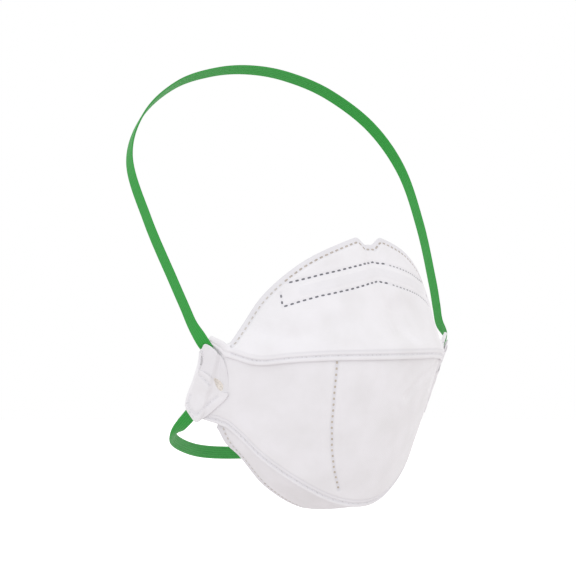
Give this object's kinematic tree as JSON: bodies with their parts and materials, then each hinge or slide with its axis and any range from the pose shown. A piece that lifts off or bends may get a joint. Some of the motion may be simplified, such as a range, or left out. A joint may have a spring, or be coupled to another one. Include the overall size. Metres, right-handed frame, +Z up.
{
  "type": "folding respirator mask",
  "caption": "Folding respirator half mask of welded nonwoven panels, opened to its worn shape, with folded side tabs and an elastic strap forming a head loop and a neck loop.",
  "frame": {"origin": "middle of the opening that the face goes into, level with the gap between nose and mouth", "axes": "+Z up the face, -Y the way the wearer looks, +X the wearer's left, so +Y points into the face"},
  "size_m": [0.2026, 0.1256, 0.2492],
  "materials": {
    "cloth": "white pressed nonwoven, matt, with a fine emboss",
    "elastic": "green ribbed flat elastic, matt",
    "nose_strip": "plain rolled strip"
  },
  "bodies": {
    "root": {"centre_panel": "cloth", "top_panel": "cloth", "chin_panel": "cloth", "nose_clip": "nose_strip", "nose_clip_pocket": "cloth", "left_tab": "cloth", "right_tab": "cloth", "head_strap": "elastic", "neck_strap": "elastic"}
  },
  "joints": []
}
